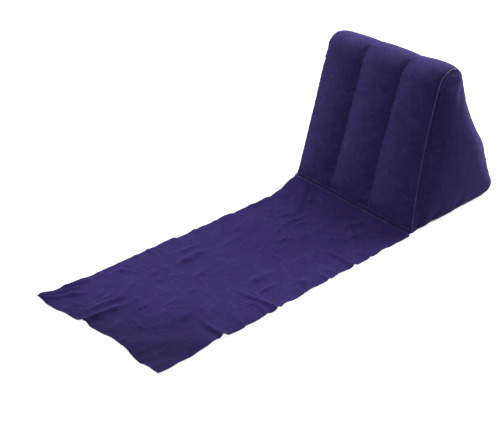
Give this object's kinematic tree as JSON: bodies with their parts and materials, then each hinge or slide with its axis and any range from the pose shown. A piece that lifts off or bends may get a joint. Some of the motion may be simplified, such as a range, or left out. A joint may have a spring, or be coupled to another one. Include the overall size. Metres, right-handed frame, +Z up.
{
  "type": "inflatable beach mat with backrest",
  "caption": "Inflatable wedge backrest with upright air channels in its front, and a single flocked sheet welded along its foot that lies in front of it as the mat.",
  "frame": {"origin": "on the floor, under the middle of the whole object's box", "axes": "+Z up, +Y from the mat's front edge towards the backrest, +X to the right of someone who faces the backrest's front"},
  "size_m": [0.4878, 1.3348, 0.463],
  "materials": {
    "flocked_vinyl": "matte",
    "plain_vinyl": "satin",
    "web_vinyl": "satin",
    "weld_vinyl": "satin",
    "valve_vinyl": "satin"
  },
  "bodies": {
    "cushion": {"front_panel": "flocked_vinyl", "back_panel": "flocked_vinyl", "side_panel_left": "flocked_vinyl", "side_panel_right": "flocked_vinyl", "base_panel": "plain_vinyl", "beam_left": "web_vinyl", "beam_right": "web_vinyl", "seam_bead_left": "weld_vinyl", "seam_bead_right": "weld_vinyl", "ridge_weld_band": "weld_vinyl", "rear_weld_band": "weld_vinyl", "front_weld_flange": "weld_vinyl", "valve_base": "valve_vinyl"},
    "mat": {"mat_sheet": "flocked_vinyl"},
    "stem": {"valve_stem": "valve_vinyl"},
    "plug": {"valve_plug": "valve_vinyl", "valve_tether": "valve_vinyl"},
    "flap": {"valve_flap": "valve_vinyl"}
  },
  "joints": [
    {"name": "mat_fold", "type": "hinge", "parent": "cushion", "child": "mat", "pos_m": [0, 0.25657, 0.0204], "axis": [-1, 0, 0], "range_deg": [0, 95]},
    {"name": "valve_pull", "type": "slide", "parent": "cushion", "child": "stem", "axis": [0, 0.9096, 0.4155], "range_m": [0, 0.014]},
    {"name": "plug_open", "type": "hinge", "parent": "stem", "child": "plug", "pos_m": [0.0095, 0.64778, 0.12418], "axis": [0, 0.4155, -0.9096], "range_deg": [0, 150]},
    {"name": "flap_open", "type": "hinge", "parent": "stem", "child": "flap", "pos_m": [0.0049, 0.62741, 0.11488], "axis": [0, -0.4155, 0.9096], "range_deg": [0, 50], "stiffness_Nm_per_rad": 0.0002, "springref_deg": -5.73}
  ]
}
